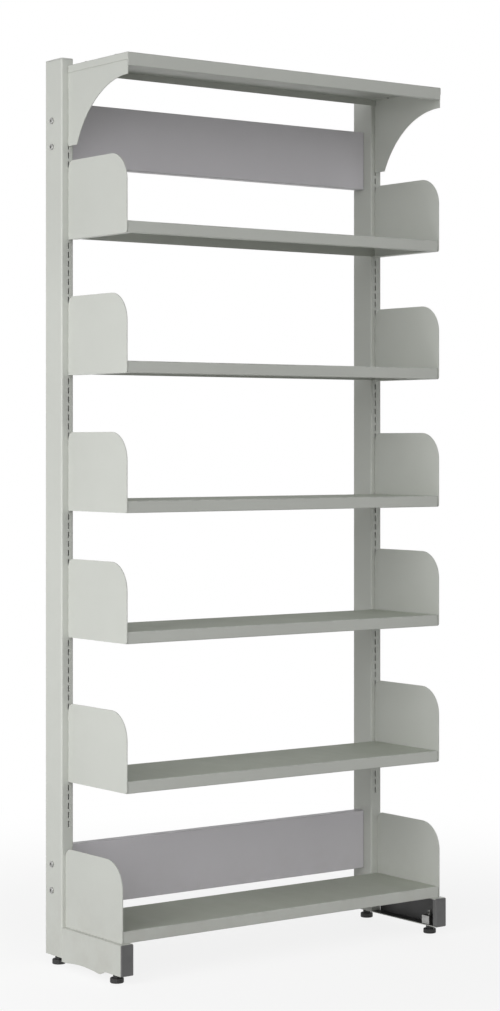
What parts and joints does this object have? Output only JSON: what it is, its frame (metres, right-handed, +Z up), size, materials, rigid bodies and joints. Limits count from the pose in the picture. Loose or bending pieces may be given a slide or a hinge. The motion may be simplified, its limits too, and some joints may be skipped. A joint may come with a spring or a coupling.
{
  "type": "single-sided library rack",
  "caption": "Free-standing single-sided library rack with slotted uprights on legs, hooked end brackets, lift-out shelf trays, tie panels, a canopy and levelling feet.",
  "frame": {"origin": "on the floor under the middle of the rack's box", "axes": "+Z up, +X to the reader's right, -Y to the reader's side"},
  "size_m": [0.9212, 0.309, 2.01],
  "materials": {
    "paint": "light grey powder coat, satin",
    "tie_paint": "violet-grey powder coat, satin",
    "cap_plastic": "light grey moulded plastic",
    "leg_cap_plastic": "dark grey moulded plastic",
    "foot_plastic": "black moulded plastic",
    "zinc": "zinc plated"
  },
  "bodies": {
    "frame": {"left_upright": "paint", "left_upright_cap": "cap_plastic", "left_leg": "paint", "left_leg_end_cap": "leg_cap_plastic", "left_base_plate": "paint", "left_canopy_bracket": "paint", "left_front_foot_insert": "zinc", "left_front_base_bolt": "zinc", "left_front_canopy_bolt": "zinc", "left_rear_foot_insert": "zinc", "left_rear_base_bolt": "zinc", "left_rear_canopy_bolt": "zinc", "left_top_tie_bolt_upper": "zinc", "left_top_tie_bolt_lower": "zinc", "left_bottom_tie_bolt_upper": "zinc", "left_bottom_tie_bolt_lower": "zinc", "right_upright": "paint", "right_upright_cap": "cap_plastic", "right_leg": "paint", "right_leg_end_cap": "leg_cap_plastic", "right_base_plate": "paint", "right_canopy_bracket": "paint", "right_front_foot_insert": "zinc", "right_front_base_bolt": "zinc", "right_front_canopy_bolt": "zinc", "right_rear_foot_insert": "zinc", "right_rear_base_bolt": "zinc", "right_rear_canopy_bolt": "zinc", "right_top_tie_bolt_upper": "zinc", "right_top_tie_bolt_lower": "zinc", "right_bottom_tie_bolt_upper": "zinc", "right_bottom_tie_bolt_lower": "zinc", "canopy": "paint", "top_tie_panel": "tie_paint", "bottom_tie_panel": "tie_paint"},
    "shelf_1_brackets": {"shelf_1_left_bracket": "paint", "shelf_1_right_bracket": "paint"},
    "shelf_1_tray": {"shelf_1_tray": "paint"},
    "shelf_2_brackets": {"shelf_2_left_bracket": "paint", "shelf_2_right_bracket": "paint"},
    "shelf_2_tray": {"shelf_2_tray": "paint"},
    "shelf_3_brackets": {"shelf_3_left_bracket": "paint", "shelf_3_right_bracket": "paint"},
    "shelf_3_tray": {"shelf_3_tray": "paint"},
    "shelf_4_brackets": {"shelf_4_left_bracket": "paint", "shelf_4_right_bracket": "paint"},
    "shelf_4_tray": {"shelf_4_tray": "paint"},
    "shelf_5_brackets": {"shelf_5_left_bracket": "paint", "shelf_5_right_bracket": "paint"},
    "shelf_5_tray": {"shelf_5_tray": "paint"},
    "base_tray": {"base_tray": "paint"},
    "left_front_foot": {"left_front_foot": "foot_plastic"},
    "left_rear_foot": {"left_rear_foot": "foot_plastic"},
    "right_front_foot": {"right_front_foot": "foot_plastic"},
    "right_rear_foot": {"right_rear_foot": "foot_plastic"}
  },
  "joints": [
    {"name": "shelf_1_unhook", "type": "slide", "parent": "frame", "child": "shelf_1_brackets", "axis": [0, 0, 1], "range_m": [0, 0.006]},
    {"name": "shelf_1_tray_lift", "type": "slide", "parent": "shelf_1_brackets", "child": "shelf_1_tray", "axis": [0, 0, 1], "range_m": [0, 0.15]},
    {"name": "shelf_2_unhook", "type": "slide", "parent": "frame", "child": "shelf_2_brackets", "axis": [0, 0, 1], "range_m": [0, 0.006]},
    {"name": "shelf_2_tray_lift", "type": "slide", "parent": "shelf_2_brackets", "child": "shelf_2_tray", "axis": [0, 0, 1], "range_m": [0, 0.15]},
    {"name": "shelf_3_unhook", "type": "slide", "parent": "frame", "child": "shelf_3_brackets", "axis": [0, 0, 1], "range_m": [0, 0.006]},
    {"name": "shelf_3_tray_lift", "type": "slide", "parent": "shelf_3_brackets", "child": "shelf_3_tray", "axis": [0, 0, 1], "range_m": [0, 0.15]},
    {"name": "shelf_4_unhook", "type": "slide", "parent": "frame", "child": "shelf_4_brackets", "axis": [0, 0, 1], "range_m": [0, 0.006]},
    {"name": "shelf_4_tray_lift", "type": "slide", "parent": "shelf_4_brackets", "child": "shelf_4_tray", "axis": [0, 0, 1], "range_m": [0, 0.15]},
    {"name": "shelf_5_unhook", "type": "slide", "parent": "frame", "child": "shelf_5_brackets", "axis": [0, 0, 1], "range_m": [0, 0.006]},
    {"name": "shelf_5_tray_lift", "type": "slide", "parent": "shelf_5_brackets", "child": "shelf_5_tray", "axis": [0, 0, 1], "range_m": [0, 0.15]},
    {"name": "base_tray_lift", "type": "slide", "parent": "frame", "child": "base_tray", "axis": [0, 0, 1], "range_m": [0, 0.15]},
    {"name": "left_front_foot_level", "type": "slide", "parent": "frame", "child": "left_front_foot", "axis": [0, 0, -1], "range_m": [0, 0.012]},
    {"name": "left_rear_foot_level", "type": "slide", "parent": "frame", "child": "left_rear_foot", "axis": [0, 0, -1], "range_m": [0, 0.012]},
    {"name": "right_front_foot_level", "type": "slide", "parent": "frame", "child": "right_front_foot", "axis": [0, 0, -1], "range_m": [0, 0.012]},
    {"name": "right_rear_foot_level", "type": "slide", "parent": "frame", "child": "right_rear_foot", "axis": [0, 0, -1], "range_m": [0, 0.012]}
  ]
}
